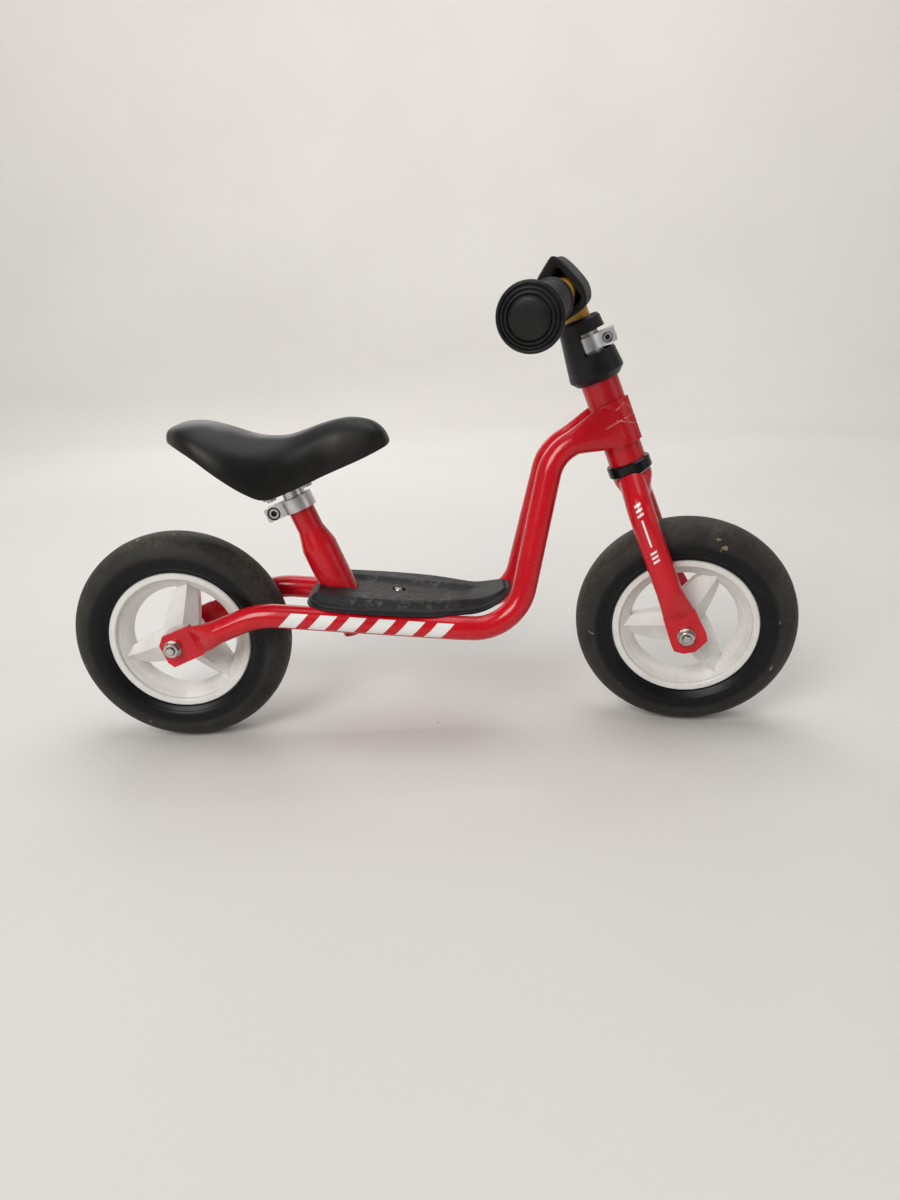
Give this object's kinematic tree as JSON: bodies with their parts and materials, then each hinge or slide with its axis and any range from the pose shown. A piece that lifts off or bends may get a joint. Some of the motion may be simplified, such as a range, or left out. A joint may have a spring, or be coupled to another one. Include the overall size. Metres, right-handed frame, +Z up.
{
  "type": "balance bike",
  "caption": "Child's balance bike: bent twin-tube steel frame, footboard, foam tyres on three-blade rims, padded saddle, and a handlebar with wide-flange grips and a padded wrap.",
  "frame": {"origin": "on the ground in the bike's centre plane, midway between the two axles", "axes": "+X forward, +Y to the rider's left, +Z up"},
  "size_m": [0.6853, 0.3712, 0.4332],
  "materials": {
    "red_paint": "glossy powder coat",
    "yellow_paint": "glossy paint",
    "white_plastic": "moulded, satin gloss",
    "foam_tyre": "scuffed, dusty foam rubber",
    "black_plastic": "moulded, satin",
    "grey_plastic": "fine moulded texture",
    "grip_rubber": "matte",
    "pad_fabric": "woven nylon",
    "saddle_cover": "satin synthetic leather",
    "zinc_steel": "zinc plated",
    "chrome_steel": "polished",
    "aluminium": "satin",
    "bearing_steel": "ground"
  },
  "bodies": {
    "frame": {"frame_tube_right": "red_paint", "frame_tube_left": "red_paint", "head_tube": "red_paint", "seat_tube": "red_paint", "seat_cross_tubes": "red_paint", "footboard_bracket": "red_paint", "head_lower_bush": "black_plastic", "head_upper_bush": "black_plastic", "footboard": "grey_plastic", "footboard_screw": "zinc_steel", "seat_clamp": "aluminium", "seat_clamp_bolt": "zinc_steel", "seat_clamp_nut": "zinc_steel", "rear_axle": "zinc_steel", "rear_axle_nuts": "zinc_steel", "rear_washers": "zinc_steel", "rear_spacers": "black_plastic", "rear_bearing_inner_rings": "bearing_steel"},
    "rear_wheel": {"rear_tyre": "foam_tyre", "rear_rim": "white_plastic", "rear_bearing_outer_rings": "bearing_steel", "rear_bearing_balls": "bearing_steel"},
    "fork": {"steerer_tube": "zinc_steel", "fork_crown": "red_paint", "fork_leg_right": "red_paint", "fork_leg_left": "red_paint", "crown_washer": "zinc_steel", "steerer_nut": "zinc_steel", "stem_clamp": "aluminium", "stem_clamp_bolt": "zinc_steel", "stem_clamp_nut": "zinc_steel", "clamp_cover": "black_plastic", "front_axle": "zinc_steel", "front_axle_nuts": "zinc_steel", "front_washers": "zinc_steel", "front_spacers": "black_plastic", "front_bearing_inner_rings": "bearing_steel"},
    "front_wheel": {"front_tyre": "foam_tyre", "front_rim": "white_plastic", "front_bearing_outer_rings": "bearing_steel", "front_bearing_balls": "bearing_steel"},
    "handlebar": {"handlebar_stem": "yellow_paint", "handlebar_bar": "yellow_paint", "grip_right": "grip_rubber", "grip_left": "grip_rubber", "handlebar_pad": "pad_fabric"},
    "saddle": {"seatpost": "chrome_steel", "saddle_plate": "zinc_steel", "saddle_base": "black_plastic", "saddle_cushion": "saddle_cover", "saddle_screws": "zinc_steel"}
  },
  "joints": [
    {"name": "steering", "type": "hinge", "parent": "frame", "child": "fork", "pos_m": [0.2407, 0, 0.1025], "axis": [-0.3608, 0, 0.9326], "range_deg": [-47.8, 72.2]},
    {"name": "front_wheel_spin", "type": "hinge", "parent": "fork", "child": "front_wheel", "pos_m": [0.2407, 0, 0.1025], "axis": [0.1971, 0.9774, 0.0762], "continuous": true},
    {"name": "rear_wheel_spin", "type": "hinge", "parent": "frame", "child": "rear_wheel", "pos_m": [-0.2407, 0, 0.1025], "axis": [0, 1, 0], "continuous": true},
    {"name": "saddle_height", "type": "slide", "parent": "frame", "child": "saddle", "axis": [-0.3633, 0, 0.9317], "range_m": [0, 0.08]},
    {"name": "handlebar_height", "type": "slide", "parent": "fork", "child": "handlebar", "axis": [-0.3608, 0, 0.9326], "range_m": [0, 0.05]}
  ]
}
